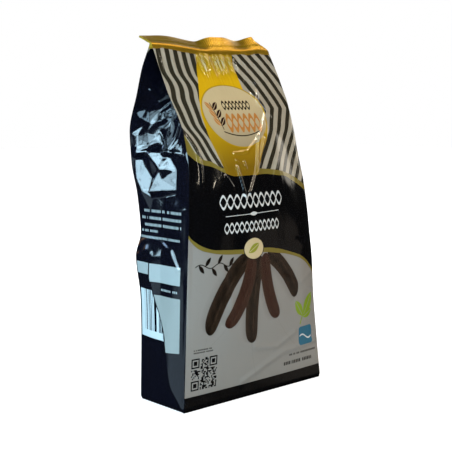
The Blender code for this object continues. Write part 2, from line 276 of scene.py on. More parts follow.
BROAD_FACETS = ((40, 205.5, -0.2), (32.5, 202, -0.8), (29, 196.5, -1.2), (36, 193, -0.3),
                (45.3, 189, 2.0), (42.5, 211, 1.2), (34.8, 189.3, 1.4), (24, 188, -1.8),
                (26.7, 179.9, 1.4), (42.8, 186, -1.8), (48.5, 186.5, -0.2), (48.6, 170, 2.1),
                (36.3, 172, -2.9), (39, 163, -0.3), (45.3, 162.5, 2.1))
SILVERY_FACET = ((27.5, 178.4, -1.2), (32, 170, 1.9), (18.4, 188.3, -2.6), (13.2, 179, -3.2),
                 (14.1, 165, -2.2), (36.3, 161.7, 4.4), (25, 171.5, -0.3), (24.5, 163.3, 1.2),
                 (35, 157.5, 0.4), (15, 161, -2.6), (25, 159, -1.0))
SHOULDER_KNOTS = SHOULDER_RIM + STAR_AND_RIDGE + BROAD_FACETS + SILVERY_FACET


def crumple_knots(seed, left, right, bottom, top, pitch, rise):
    """Seeded knots on a loose grid, level with the film round the rim."""
    draw = np.random.default_rng(seed)
    knots = []
    rows = round((top - bottom) / pitch)
    columns = round((right - left) / pitch)
    for row in range(rows + 1):
        for column in range(columns + 1):
            rim = row in (0, rows) or column in (0, columns)
            shift = 0.0 if rim else 0.34 * pitch
            a = left + (right - left) * column / columns + draw.uniform(-shift, shift)
            h = bottom + (top - bottom) * row / rows + draw.uniform(-shift, shift)
            knots.append((a, h, 0.0 if rim else draw.uniform(-rise, rise)))
    return knots


# Gathers under the seal: where they start, more or less, and the height and pitch of their waves
GATHER_START = 249
GATHER_HEIGHT = 0.85
GATHER_PITCH = 6.4


def held(across, width, near, far):
    """0 at a panel's standing creases and 1 between them, past these two margins."""
    return ease(0, near, across) * ease(0, far, width - across)


def front_push(across, height):
    """How far the front film stands out past its plain bulge."""
    push = 0.9 * lumps(3, across, height, 22, 60) * ease(8, 40, height) * ease(235, 200, height)
    push += 0.2 * lumps(4, across, height, 12, 26) * ease(120, 190, height)
    middle = np.exp(-((across - 74) / 27) ** 4)
    wander = across + 3.4 * lumps(5, across, height, 10, 60)
    pinned = ease(MOUTH_HEIGHT, MOUTH_HEIGHT - 6, height)
    start = GATHER_START + 6 * lumps(14, across, height, 6, 1000)
    gathered = GATHER_HEIGHT * ease(start, start + 9, height)
    push += gathered * pinned * middle * np.cos(TAU * wander / GATHER_PITCH)
    push += 0.1 * pinned * middle * ease(234, 252, height) * np.cos(TAU * wander / 3.1 + 1)
    push += 0.12 * pinned * ease(235, 262, height) * np.cos(TAU * wander / 5.2)
    push += crease_heights(FRONT_CREASES, across, height)
    return push * held(across, BAG_WIDTH, 5, 5)


# Where the front lobe of the left gusset ends, as (height, across)
FOLD_LINE = ((0, 1), (19, 15), (48, 20), (57, 21), (83, 32.5), (94.5, 36), (110, 40), (130, 46))

# That lobe's rise for each millimetre across, its highest crest, and the dip behind it
LOBE_SLOPE = 0.19
LOBE_CREST = 3.8
LOBE_DIP = 2.2


def left_push(across, height):
    """The left gusset: a crumpled shoulder, and a front lobe that lies over the back half."""
    push = facets(SHOULDER_KNOTS, across, height)
    push += facets(crumple_knots(17, 5, 49, 156, 203, 5.5, 0.3), across, height)
    fold = curve_at(FOLD_LINE, height)
    crest = np.minimum(LOBE_SLOPE * fold, LOBE_CREST)
    front_lobe = crest * across / fold
    dipped = crest - LOBE_DIP * ease(2, 12, fold)
    back_half = dipped * (BAG_DEPTH - across) / (BAG_DEPTH - fold)
    over = ease(fold + 1.0, fold - 0.6, across)
    push += (front_lobe * over + back_half * (1 - over)) * ease(130, 72, height)
    push += crease_heights(SIDE_CREASES, across, height)
    push += 0.5 * ease(170, 130, height) * lumps(6, across, height, 12, 30) * ease(10, 40, height)
    return push * held(across, BAG_DEPTH, 3, 2)


def right_push(across, height):
    """The right gusset, crumpled all over its upper half."""
    knots = crumple_knots(31, 2, 50, 140, 240, 12.0, 2.8)
    push = facets(knots, across, height)
    push += 0.8 * lumps(7, across, height, 13, 40) * ease(10, 40, height)
    return push * held(across, BAG_DEPTH, 3, 3)


def back_push(across, height):
    """The back film, which lies flat under its seam."""
    push = 0.8 * lumps(8, across, height, 24, 60) * ease(8, 40, height) * ease(235, 200, height)
    push += 0.6 * ease(215, 262, height) * np.cos(TAU * across / 5.2 + lumps(9, across, height, 20, 40))
    flat_at_seam = 1 - np.exp(-((across - HALF_WIDTH) / 10) ** 4)
    return push * held(across, BAG_WIDTH, 5, 5) * flat_at_seam


def mouth_drop(x, height):
    """The upper film sinks a little in the middle of its length."""
    across = np.clip((x - MOUTH_LEFT[0]) / (MOUTH_RIGHT[0] - MOUTH_LEFT[0]), 0.0, 1.0)
    return MOUTH_SAG * np.sin(np.pi * across) ** 2 * ease(SAG_STARTS_AT, MOUTH_HEIGHT, height)


def corner(name, height):
    """Where a standing crease is, as x and y."""
    side, face, x_places, y_places = CORNERS[name]
    mouth = MOUTH_RIGHT if side > 0 else MOUTH_LEFT
    x_keys = ((0, side * HALF_WIDTH), *x_places, (MOUTH_HEIGHT, mouth[0]))
    y_keys = ((0, face * HALF_DEPTH), *y_places, (MOUTH_HEIGHT, mouth[1] + face * HALF_MOUTH))
    return curve_at(x_keys, height), curve_at(y_keys, height)


# Heights of the film's rows, and how far each row turns in above the floor
HEIGHTS = np.linspace(0, MOUTH_HEIGHT, FILM_ROWS + 1)[:, None]
TOE = 1.3 * ease(4.0, 0.0, HEIGHTS) ** 2


def broad_panel(start, end, bulge, outward, steps, push):
    """x and y of a broad panel, one row for each height, and its distance across."""
    u = np.linspace(0, 1, steps + 1)[None, :]
    across = u * BAG_WIDTH
    x = start[0] + (end[0] - start[0]) * u
    y = start[1] + (end[1] - start[1]) * u + outward * bulge * (1 - np.abs(2 * u - 1) ** BULGE_POWER)
    return x, y + outward * (push(across, HEIGHTS) - TOE), across


def side_gusset(start, end, slope, outward, steps, push):
    """x and y of a side gusset: two halves that keep their length, with the fold between.

    Its distance across is measured from its front crease.
    """
    half_opening = np.abs(end[1] - start[1]) / 2
    depth = np.sqrt(np.maximum(HALF_DEPTH ** 2 - half_opening ** 2, 0.0))
    fold_x = (start[0] + end[0]) / 2 - outward * depth
    fold_y = (start[1] + end[1]) / 2 - outward * depth * slope
    s = np.linspace(0, 1, steps + 1)[None, :]
    across = s * BAG_DEPTH if outward > 0 else (1 - s) * BAG_DEPTH
    near = np.clip(2 * s, 0, 1)
    far = np.clip(2 * s - 1, 0, 1)
    x = start[0] + (fold_x - start[0]) * near + (end[0] - fold_x) * far
    y = start[1] + (fold_y - start[1]) * near + (end[1] - fold_y) * far
    lobe = curve_at(GUSSET_LOBE, HEIGHTS) * np.abs(np.sin(TAU * s))
    first_half = s < 0.5
    run_x = np.where(first_half, fold_x - start[0], end[0] - fold_x)
    run_y = np.where(first_half, fold_y - start[1], end[1] - fold_y)
    length = np.hypot(run_x, run_y)
    facing = np.clip(np.abs(s - 0.5) * 6, 0, 1)
    to_x = outward * (1 - facing) + np.abs(run_y) / length * outward * facing
    to_y = np.where(run_y * outward > 0, -run_x, run_x) / length * facing
    scale = np.hypot(to_x, to_y)
    rise = push(across, HEIGHTS)
    return x + to_x / scale * rise + outward * (lobe - TOE), y + to_y / scale * rise, across


def add_to_scene(name, data):
    made = bpy.data.objects.new(name, data)
    bpy.context.scene.collection.objects.link(made)
    return made


def build_mesh(name, points, faces, materials, slots=None, uvs=None, sharp=None):
    """A named mesh object from millimetre points, shaded smooth."""
    mesh = bpy.data.meshes.new(name)
    mesh.from_pydata((np.asarray(points) * MM).tolist(), [], faces)
    for material in materials:
        mesh.materials.append(material)
    if slots is not None:
        mesh.polygons.foreach_set("material_index", slots)
    if uvs is not None:
        layer = mesh.uv_layers.new(name="film")
        layer.data.foreach_set("uv", np.asarray(uvs, np.float32).ravel())
    mesh.shade_smooth()
    if sharp:
        mesh.set_sharp_from_angle(angle=math.radians(sharp))
    mesh.update()
    return add_to_scene(name, mesh)


def skin_faces(rings, around, turn):
    """Quads between closed rings of points, then a cap on the first ring and one on the last.

    The turn is 1 for rings whose points run anticlockwise, seen from the last ring, and -1 for others.
    """
    faces = []
    for low in range(0, rings * around, around):
        high = low + around
        for i in range(around):
            j = (i + 1) % around
            if turn > 0:
                faces.append((low + i, low + j, high + j, high + i))
            else:
                faces.append((low + i, high + i, high + j, low + j))
    faces.append(list(range(around))[::-turn])
    faces.append(list(range(rings * around, (rings + 1) * around))[::turn])
    return faces


def make_film(materials):
    """The printed tube of film: four panels in closed rings, with its flat base."""
    front_left, front_right, back_right, back_left = (corner(name, HEIGHTS) for name in CORNERS)
    run_x = front_right[0] + back_right[0] - front_left[0] - back_left[0]
    run_y = front_right[1] + back_right[1] - front_left[1] - back_left[1]
    slope = run_y / run_x
    bulges = [curve_at(keys, HEIGHTS) for keys in (FRONT_BULGE, BACK_BULGE)]
    panels = (
        broad_panel(front_left, front_right, bulges[0], -1, FRONT_STEPS, front_push),
        side_gusset(front_right, back_right, slope, 1, RIGHT_STEPS, right_push),
        broad_panel(back_right, back_left, bulges[1], 1, BACK_STEPS, back_push),
        side_gusset(back_left, front_left, slope, -1, SIDE_STEPS, left_push),
    )
    x, y = (np.concatenate([panel[axis][:, :-1] for panel in panels], axis=1) for axis in (0, 1))
    z = HEIGHTS - mouth_drop(x, HEIGHTS)
    points = np.stack((x, y, z), axis=-1).reshape(-1, 3)
    faces = skin_faces(FILM_ROWS, x.shape[1], 1)
    spans = [span for panel in panels for span in zip(panel[2][0], panel[2][0, 1:])]
    uvs = []
    for low, high in zip(HEIGHTS[:, 0], HEIGHTS[1:, 0]):
        for left, right in spans:
            uvs += [(left, low), (right, low), (right, high), (left, high)]
    for cap in faces[-2:]:
        uvs += [(points[k][0], points[k][1]) for k in cap]
    slots = [number for number, panel in enumerate(panels) for _ in panel[2][0, 1:]] * FILM_ROWS
    slots += [len(panels)] * 2
    return build_mesh("printed_film", points, faces, materials, slots, uvs, sharp=70)


# The crimped seal and the back seam

SEAL_SECTIONS = 420
SEAL_ROW_PITCH = 0.7
SEAL_MARGIN = 0.15
SEAL_EAR = 3.0
SEAL_EAR_ENDS_AT = 0.06
CRIMP_PITCH = 1.7
CRIMP_DEPTH = 0.24

# Heights on the band where its shallow ribs, and its line of deep ones, grow, are full and fade
PRESSED = (2.0, 4.0, 12.2, 13.4)
STITCHED = (5.2, 5.9, 6.6, 7.3)

# The band's rows that hang over the film: how far down, and how far out in front and behind
SEAL_SKIRT = ((2.2, 0.35, 0.6), (1.2, 0.2, 0.45))

SEAM_ROWS = 300
SEAM_COLUMNS = 16
SEAM_CRIMP_PITCH = 2.0
SEAM_CRIMP_DEPTH = 0.09

# How far aside the seam leans for each millimetre of height
SEAM_LEAN = (MOUTH_LEFT[0] + MOUTH_RIGHT[0]) / 2 / MOUTH_HEIGHT


def rib_share(heights, row):
    """How full a set of ribs is at one height on the band."""
    start, full, fades, end = heights
    return ease(start, full, row) * ease(end, fades, row)


def seal_section(u):
    """The band's front and back rows of points at one place along the mouth."""
    lean = math.radians(curve_at(SEAL_LEAN, u))
    foot_x = MOUTH_LEFT[0] + (MOUTH_RIGHT[0] - MOUTH_LEFT[0]) * u
    foot_y = MOUTH_LEFT[1] + (MOUTH_RIGHT[1] - MOUTH_LEFT[1]) * u
    pull = SEAL_END_TUCK * ease(SEAL_TUCK_STARTS_AT, 1.0, u) + SEAL_EAR * ease(SEAL_EAR_ENDS_AT, 0.0, u)
    y = foot_y - HALF_MOUTH - SEAL_MARGIN
    z = MOUTH_HEIGHT - mouth_drop(foot_x, MOUTH_HEIGHT) + SEAL_CLEARANCE
    front = [(foot_x, y - ahead, z - down) for down, ahead, _ in SEAL_SKIRT]
    back = [(foot_x, y + MOUTH_THICKNESS + behind, z - down) for down, _, behind in SEAL_SKIRT]
    last_row = 0.0
    for row in np.arange(0, SEAL_HEIGHT + 0.01, SEAL_ROW_PITCH):
        bend = ease(0, 2 * SEAL_BEND, row)
        angle = lean * bend
        y += (row - last_row) * math.sin(angle)
        z += (row - last_row) * math.cos(angle)
        last_row = row
        x = foot_x - pull * row / SEAL_HEIGHT
        depth = CRIMP_DEPTH * (0.5 * rib_share(PRESSED, row) + rib_share(STITCHED, row))
        rib = depth * math.cos(TAU * foot_x / CRIMP_PITCH)
        thickness = MOUTH_THICKNESS + (SEAL_THICKNESS - MOUTH_THICKNESS) * bend
        for side, out in ((front, rib), (back, rib - thickness)):
            side.append((x, y - out * math.cos(angle), z + out * math.sin(angle)))
    return front + back[::-1]


def make_seal(material):
    rings = [seal_section(step / SEAL_SECTIONS) for step in range(SEAL_SECTIONS + 1)]
    around = len(rings[0])
    points = np.array(rings).reshape(-1, 3)
    faces = skin_faces(SEAL_SECTIONS, around, -1)
    uvs = [(points[k][0], face[0] % around * SEAL_ROW_PITCH) for face in faces[:-2] for k in face]
    uvs += [(points[k][0], points[k][2]) for cap in faces[-2:] for k in cap]
    return build_mesh("gold_seal_band", points, faces, [material], uvs=uvs, sharp=50)


def back_surface(x, height):
    """How far back the outside of the plain back panel is."""
    right = corner("back_right", height)
    left = corner("back_left", height)
    u = (x - right[0]) / (left[0] - right[0])
    swell = curve_at(BACK_BULGE, height) * (1 - abs(2 * u - 1) ** BULGE_POWER)
    return right[1] + (left[1] - right[1]) * u + swell


def make_back_seam(material):
    """The folded strip that closes the tube, lightly crimped across."""
    height = np.linspace(SEAM_BOTTOM, SEAM_TOP, SEAM_ROWS + 1)[:, None]
    share = np.linspace(0, 1, SEAM_COLUMNS + 1)
    share = np.concatenate((share, share[::-1]))
    rise = np.repeat((0.0, SEAM_THICKNESS), SEAM_COLUMNS + 1)
    x = SEAM_LEAN * height + (share - 0.5) * SEAM_WIDTH
    crimp = SEAM_CRIMP_DEPTH * np.cos(TAU * height / SEAM_CRIMP_PITCH)
    crimp = crimp * ease(0.1, 0.2, np.minimum(share, 1 - share))
    y = back_surface(x, height) + SEAM_GAP + rise + crimp
    points = np.stack((x, y, height - mouth_drop(x, height)), axis=-1).reshape(-1, 3)
    faces = skin_faces(SEAM_ROWS, len(share), 1)
    return build_mesh("back_seam_strip", points, faces, [material], sharp=40)


# Shader arithmetic

def math_node(operation):
    """A method that puts a reading, and any other values, through one Math node."""
    def method(reading, *others):
        return calculate(reading.tree, operation, reading, *others)
    return method


class Reading:
    """A number that changes over a surface. Arithmetic on it adds Math nodes to its tree."""

    def __init__(self, tree, socket):
        self.tree = tree
        self.socket = socket

    def __rsub__(self, other):
        return calculate(self.tree, "SUBTRACT", other, self)

    __add__ = math_node("ADD")
    __radd__ = __add__
    __sub__ = math_node("SUBTRACT")
    __mul__ = math_node("MULTIPLY")
    __truediv__ = math_node("DIVIDE")
    size = math_node("ABSOLUTE")
    whole = math_node("FLOOR")
    part = math_node("FRACT")
    sine = math_node("SINE")
    root = math_node("SQRT")
    power = math_node("POWER")
    least = math_node("MINIMUM")
    most = math_node("MAXIMUM")

    def edge(self, soft=0.3):
        """1 where the reading is above 0 and 0 where it is below, over a soft edge."""
        return calculate(self.tree, "MULTIPLY_ADD", self, 1 / soft, 0.5, clamp=True)

    def within(self, low, high, soft=0.3):
        """1 where the reading is between these two, with soft edges."""
        return (self - low).edge(soft) * (high - self).edge(soft)


def feed(value, socket):
    """Links a reading or another socket to a socket, or sets a number or a colour on it."""
    if isinstance(value, Reading):
        value = value.socket
    if isinstance(value, bpy.types.NodeSocket):
        socket.id_data.links.new(value, socket)
    elif socket.type == "RGBA":
        socket.default_value = (*value, 1.0)
    else:
        socket.default_value = value


def feed_all(node, values):
    """Feeds a node's inputs, given by name or by number."""
    for key, value in values.items():
        feed(value, node.inputs[key])


def add_node(tree, kind, values, **settings):
    node = tree.nodes.new("ShaderNode" + kind)
    for name, value in settings.items():
        setattr(node, name, value)
    feed_all(node, values)
    return node


def calculate(tree, operation, *values, clamp=False):
    node = add_node(tree, "Math", dict(enumerate(values)), operation=operation, use_clamp=clamp)
    return Reading(tree, node.outputs[0])


def distance(a, h):
    return (a * a + h * h).root()


def vector(*numbers):
    return add_node(numbers[0].tree, "CombineXYZ", dict(enumerate(numbers))).outputs[0]


def mixed(share, first, second):
    """The second colour over the first, by a share from 0 to 1."""
    return add_node(share.tree, "Mix", {0: share, 6: first, 7: second}, data_type="RGBA").outputs[2]


def chance(*numbers):
    """A random number from 0 to 1 for each set of whole numbers."""
    tree = numbers[0].tree
    noise = add_node(tree, "TexWhiteNoise", {"Vector": vector(*numbers)}, noise_dimensions="3D")
    return Reading(tree, noise.outputs["Value"])


PROFILE_REACH = 270.0


def profile(place, points, smooth=True):
    """A line through given (place, value) points, both in millimetres, read at a place."""
    node = add_node(place.tree, "FloatCurve", {"Value": place / PROFILE_REACH})
    line = node.mapping.curves[0]
    while len(line.points) < len(points):
        line.points.new(0.5, 0.5)
    for point, (at, value) in zip(line.points, points):
        point.location = (at / PROFILE_REACH, value / PROFILE_REACH)
        point.handle_type = "AUTO_CLAMPED" if smooth else "VECTOR"
    node.mapping.update()
    return Reading(place.tree, node.outputs[0]) * PROFILE_REACH


def make_group(name, inputs, outputs, build):
    """A node group with these number sockets, whose nodes are laid by build."""
    group = bpy.data.node_groups.new(name, "ShaderNodeTree")
    for way, labels in (("INPUT", inputs), ("OUTPUT", outputs)):
        for label in labels:
            group.interface.new_socket(label, in_out=way, socket_type="NodeSocketFloat")
    start = group.nodes.new("NodeGroupInput")
    end = group.nodes.new("NodeGroupOutput")
    results = build(*[Reading(group, start.outputs[label]) for label in inputs])
    feed_all(end, dict(zip(outputs, results)))
    return group


def place_group(group, *values):
    """Places a group in the tree of its first reading and gives its outputs as readings."""
    tree = values[0].tree
    node = add_node(tree, "Group", dict(enumerate(values)), node_tree=group)
    found = [Reading(tree, socket) for socket in node.outputs]
    return found[0] if len(found) == 1 else found


# Print motifs, each a node group

def lay_stripes(across, shift, pitch, share):
    step = ((across - shift) / pitch).part()
    return [((share * 0.5 - (step - 0.5).size()) * pitch).edge(0.45)]


def lay_oval(across, height, middle, level, half_width, half_height):
    far = distance((across - middle) / half_width, (height - level) / half_height)
    inside = (1 - far) * half_height
    return [inside.edge(), inside]


def lay_plate(across, height, middle, level, half_width, half_height, rounding):
    a = ((across - middle).size() - half_width + rounding).most(0.0)
    h = ((height - level).size() - half_height + rounding).most(0.0)
    inside = rounding - distance(a, h)
    return [(inside + 0.01).edge(), inside]


def beside_line(across, height, from_across, from_height, to_across, to_height):
    """How far along a line a place is, as a share, how far aside, and the line's length.

    The motifs below take a place, then a line's two ends, then their own readings.
    """
    a = across - from_across
    h = height - from_height
    run_a = to_across - from_across
    run_h = to_height - from_height
    length = distance(run_a, run_h)
    along = (a * run_a + h * run_h) / (length * length)
    aside = (a * run_h - h * run_a) / length
    return along, aside, length


def lay_stroke(*readings):
    *place_and_line, half_width = readings
    along, aside, length = beside_line(*place_and_line)
    past = (along - along.most(0.0).least(1.0)) * length
    return [(half_width - distance(aside, past)).edge()]


def lay_leaf(*readings):
    *place_and_line, fullness = readings
    along, aside, length = beside_line(*place_and_line)
    blade = (along * (1 - along) * 4 * fullness * length - aside.size()).edge()
    vein = (0.22 - aside.size()).edge(0.2) * (along - 0.08).edge(0.02)
    return [blade, blade * vein]


def lay_pod(*readings):
    *place_and_line, half_width, bow = readings
    along, aside, _ = beside_line(*place_and_line)
    aside = aside - bow * 4 * along * (1 - along)
    end = (along * 2 - 1).size().power(7.0)
    half = half_width * (1 - end).most(0.0).root()
    body = (half - aside.size() - 0.05).edge(0.35)
    rim = ((aside + 0.3) / half_width).size().power(2.0)
    swell = (along * 44 + aside * 0.6).sine() * 0.5 + 0.5
    shadow = (half + 2.0 - (aside - 1.4).size()).edge(5.0) * (1 - end).edge(0.3)
    ridge = (1 - (aside / half_width + 0.3).size() * 5).most(0.0)
    return [body, rim, swell, shadow, ridge * (along * 9 + half_width).sine().size()]


def lay_dash_rows(across, height, left, right, bottom, top, row_pitch, dash_pitch, seed):
    rows = (height - bottom) / row_pitch
    dashes = across / dash_pitch
    kept = chance(dashes.whole(), rows.whole(), seed)
    wide = (0.34 - (dashes.part() - 0.5).size()).edge(0.16)
    tall = (0.27 - (rows.part() - 0.5).size()).edge(0.12)
    ragged = right - chance(rows.whole(), seed, 3.0) * (right - left) * 0.3
    inside = across.within(left, ragged) * height.within(bottom, top)
    return [wide * tall * inside * (kept - 0.14).edge(0.05)]


# How far the corner marks' middles are from the code block's edges, in cells
MARK_INSET = 3.5


def lay_code_block(across, height, left, bottom, size, cells, seed):
    a = (across - left) / size * cells
    h = (height - bottom) / size * cells
    dark = (chance(a.whole(), h.whole(), seed) - 0.5).edge(0.02)
    far = cells - MARK_INSET
    for middle, level in ((MARK_INSET, MARK_INSET), (MARK_INSET, far), (far, far)):
        away = (a - middle).size().most((h - level).size())
        frame_mark = (1.5 - away).edge(0.1).most((1 - (away - 3.0).size() * 2).edge(0.2))
        dark = dark * (away - 4.5).edge(0.1) + frame_mark
    return [dark * a.within(-0.001, cells, 0.01) * h.within(-0.001, cells, 0.01)]


def lay_bars(across, pitch, seed):
    return [(chance((across / pitch).whole(), seed, 0.0) - 0.48).edge(0.05)]


def lay_wrinkles(across, height, amount):
    """Film that is never quite flat: fine creases where it was handled, and its faint grain."""
    tree = across.tree
    place = vector(across * 0.09, height * 0.06)
    bends = add_node(tree, "TexNoise", {"Vector": place, "Scale": 1.0, "Detail": 1.0, "Distortion": 0.4})
    cells = add_node(tree, "TexVoronoi", {"Vector": place, "Scale": 0.9}, feature="DISTANCE_TO_EDGE")
    bend = Reading(tree, bends.outputs["Fac"])
    creases = 1 - (Reading(tree, cells.outputs["Distance"]) * 14).least(1.0)
    worn = creases * (bend - 0.52).edge(0.2)
    return [(bend * 0.8 + worn * 0.25) * amount, (bend - 0.5) * 0.12 + worn * 0.06]


def make_motifs():
    place = ["Across", "Height"]
    line = ["From across", "From height", "To across", "To height"]
    oval = ["Middle", "Level", "Half width", "Half height"]
    rows = ["Left", "Right", "Bottom", "Top", "Row pitch", "Dash pitch", "Seed"]
    plans = (
        ("stripes", lay_stripes, ["Across", "Shift", "Pitch", "Light share"], ["Light"]),
        ("oval", lay_oval, place + oval, ["Inside", "Depth"]),
        ("plate", lay_plate, place + oval + ["Rounding"], ["Inside", "Depth"]),
        ("stroke", lay_stroke, place + line + ["Half width"], ["Ink"]),
        ("leaf", lay_leaf, place + line + ["Fullness"], ["Blade", "Vein"]),
        ("pod", lay_pod, place + line + ["Half width", "Bow"],
         ["Body", "Rim", "Swell", "Shadow", "Sheen"]),
        ("dash_rows", lay_dash_rows, place + rows, ["Ink"]),
        ("code_block", lay_code_block, place + ["Left", "Bottom", "Size", "Cells", "Seed"], ["Ink"]),
        ("bars", lay_bars, ["Across", "Pitch", "Seed"], ["Ink"]),
        ("wrinkles", lay_wrinkles, place + ["Amount"], ["Rise", "Wear"]),
    )
    return {name: make_group(name, inputs, outputs, build) for name, build, inputs, outputs in plans}


MOTIFS = make_motifs()


class Print:
    """The inks of one panel, laid one over another."""

    def __init__(self, across, height, ground):
        self.across = across
        self.height = height
        self.colour = ground

    def lay(self, mask, colour):
        self.colour = mixed(mask, self.colour, colour)

    def motif(self, name, *values):
        return place_group(MOTIFS[name], self.across, self.height, *values)

    def stamp(self, colour, name, *values):
        """Lays a motif that has only one mask."""
        self.lay(self.motif(name, *values), colour)


# Where the print's lines run on the front, as (across, height) or (height, across)
UPPER_WAVE = ((0, 191), (12, 184), (27, 180.5), (39, 176), (52, 173.4), (89, 173.4), (108, 171.7),
              (119, 170.5), (129, 166.8), (140, 162.2), (150, 157))
UPPER_WAVE_TOP = ((0, 205), (13, 188.5), (28, 183.8), (36, 179.8), (98, 176.8), (120, 173.5),
                  (142, 166), (150, 161))
LOWER_WAVE_TOP = ((0, 132.6), (3, 129.6), (20, 121.2), (35, 119.4), (54.5, 118.2), (80, 117.4),
                  (95, 115.6), (117, 110.3), (134, 104.2), (150, 92.2))
LOWER_WAVE = ((0, 130), (3, 127), (10.6, 121.4), (20, 118.5), (35, 116), (54, 114.8), (79, 114),
              (95, 112), (117, 107.8), (133.5, 101.7), (150, 89.6))
COLUMN_LEFT = ((176, 40), (182, 37), (192.5, 32.5), (204, 28), (215, 27), (228, 31), (239, 37),
               (252, 43), (270, 52))
COLUMN_RIGHT = ((176, 82), (180, 84), (191, 94), (203, 105), (215, 110), (228, 106), (239, 93),
                (253.5, 93), (270, 98))
LEFT_STRIPE_ROUTE = ((160, 52), (170, 44), (185, 32), (200, 23), (215, 14), (228, 14), (240, 17),
                     (252, 13), (270, 16))
RIGHT_STRIPE_ROUTE = ((150, 60), (184, 90), (207, 113), (224, 124), (245, 112), (270, 93))
LEFT_STRIPE_PITCH = 10.0
RIGHT_STRIPE_PITCH = 12.4
STRIP_TOP = 11.5


def print_top(ink):
    """Gold wave, kinked stripes and the yellow column, on the front and the back alike."""
    across, height = ink.across, ink.height
    over_wave = (height - profile(across, UPPER_WAVE)).edge()
    ink.lay(over_wave, GOLD)
    left_route = profile(height, LEFT_STRIPE_ROUTE)
    right_route = profile(height, RIGHT_STRIPE_ROUTE, smooth=False)
    left_pitch = LEFT_STRIPE_PITCH - (212 - height).edge(36) * 2.2
    left_light = place_group(MOTIFS["stripes"], across, left_route, left_pitch, 0.45)
    right_light = place_group(MOTIFS["stripes"], across, right_route, RIGHT_STRIPE_PITCH, 0.52)
    on_right = (across - 68).edge()
    light = left_light * (1 - on_right) + right_light * on_right
    above = (height - profile(across, UPPER_WAVE_TOP)).edge()
    ink.lay(above, DARK_STRIPE)
    ink.lay(above * light, LIGHT_STRIPE)
    column = across.within(profile(height, COLUMN_LEFT), profile(height, COLUMN_RIGHT))
    ink.lay(column * over_wave, YELLOW)
    # Painted shade: the yellow column is laid deeper towards its bottom
    ink.lay(column * over_wave * (205 - height).edge(50), DEEP_YELLOW)
    ink.lay(column * (height - 255).edge(16) * 0.7, OLIVE)


def print_front(across, height):
    ink = Print(across, height, BLACK)
    wave = profile(across, LOWER_WAVE)
    wave_top = profile(across, LOWER_WAVE_TOP)
    ink.lay(height.within(STRIP_TOP, wave), PANEL_WHITE)
    print_pods(ink)
    ink.lay(height.within(wave, wave_top), GOLD)
    ink.lay((height - wave_top).edge(), BLACK)
    print_top(ink)
    print_oval(ink)
    print_band_ornament(ink)
    print_badge(ink)
    print_small_marks(ink)
    ink.lay((STRIP_TOP - height).edge(), BLACK)
    return ink.colour


# The printed pods: the line from stalk to tip, half width, bow and ink
POD_LAYOUT = (
    (62, 114, 20, 57, 7.2, 6.0, POD_DARK),
    (84, 113, 122, 75, 7.0, -4.5, POD_DARK),
    (74, 112, 66, 44, 7.2, 4.5, POD_DARK),
    (66, 113, 38, 60, 6.6, -5.0, POD_RED),
    (80, 113, 96, 60, 6.6, 4.0, POD_RED),
)


def print_pods(ink):
    """A loose fan of ripe pods with soft shadows."""
    pods = [(ink.motif("pod", *shape), colour) for *shape, colour in POD_LAYOUT]
    for (_, _, _, shadow, _), _ in pods:
        ink.lay(shadow * 0.35, POD_SHADOW)
    for (body, rim, swell, _, sheen), colour in pods:
        ink.lay(body, colour)
        for mark, strength in ((rim, 0.45), (swell, 0.1), (sheen, 0.5)):
            ink.lay(body * mark * strength, POD_EDGE)


def print_leaf(ink, leaf, colour, vein_colour=None):
    """One leaf, given as its foot, its tip and its fullness, with a vein if that has a colour."""
    blade, vein = ink.motif("leaf", *leaf)
    ink.lay(blade, colour)
    if vein_colour:
        ink.lay(vein, vein_colour)


def print_braid(ink, level, rise, pitch, left, right, half, colour):
    """Two plain waves that cross one another, between two places across."""
    window = ink.across.within(left, right)
    for turn in (1, -1):
        strand = level + ((ink.across - left) * (TAU / pitch)).sine() * (rise * turn)
        ink.lay((half - (ink.height - strand).size() * 0.62).edge() * window, colour)


def print_oval(ink):
    """A cream oval with a thin ring, holding a plain sprig with three pairs of leaves and braids."""
    across, height = ink.across, ink.height
    inside, depth = ink.motif("oval", 70.0, 219.0, 40.5, 25.0)
    ink.lay(inside, OVAL_RING)
    ink.lay((depth - 0.9).edge(), CREAM)
    # Painted shade: the oval's cream is darker towards its bottom
    ink.lay((depth - 0.9).edge() * (212 - height).edge(36), PAINTED_SHADE_CREAM)
    stem = (0.35 - (across - 43 - (228 - height) * 0.28).size() * 0.8).edge()
    ink.lay(stem * height.within(208, 229), POD_DARK)
    for level in (226, 220, 214):
        root = 43 + (228 - level) * 0.28
        for reach, shade in ((-7, WARM_BROWN), (8, POD_RED)):
            print_leaf(ink, (root, level - 3.0, root + reach, level + 3.5, 0.22), shade, CREAM)
    print_braid(ink, 213.0, 5.6, 15.0, 55, 100, 1.25, WARM_BROWN)
    print_braid(ink, 227.0, 2.9, 9.0, 57, 93, 0.62, POD_DARK)
    aside = across - 72
    rule = 203 + aside * aside * 0.006
    ink.lay((0.4 - (height - rule).size()).edge() * (24 - aside.size()).edge(), POD_DARK)


def print_band_ornament(ink):
    """Two rows of plain braid with a thin rule between, on the black band."""
    print_braid(ink, 154.5, 4.6, 15.4, 31, 108, 0.62, INK_WHITE)
    print_braid(ink, 135.0, 3.4, 11.0, 35, 101, 0.5, INK_WHITE)
    ink.stamp(INK_WHITE, "stroke", 37.0, 144.0, 102.0, 145.0, 0.22)
    print_leaf(ink, (64.0, 144.4, 74.0, 144.6, 0.14), INK_WHITE)


def print_badge(ink):
    inside, depth = ink.motif("oval", 67.5, 118.0, 12.0, 8.6)
    ink.lay(inside, BLACK)
    ink.lay((depth - 0.6).edge(), CREAM)
    print_leaf(ink, (61.0, 115.0, 74.0, 121.5, 0.2), BADGE_GREEN, CREAM)


# The vine on the pale panel: its level, sway and turn, and where it starts and ends
VINE_LEVEL = 108.5
VINE_SWAY = 1.6
VINE_TURN = 0.34
VINE_LEFT = 7
VINE_RIGHT = 44


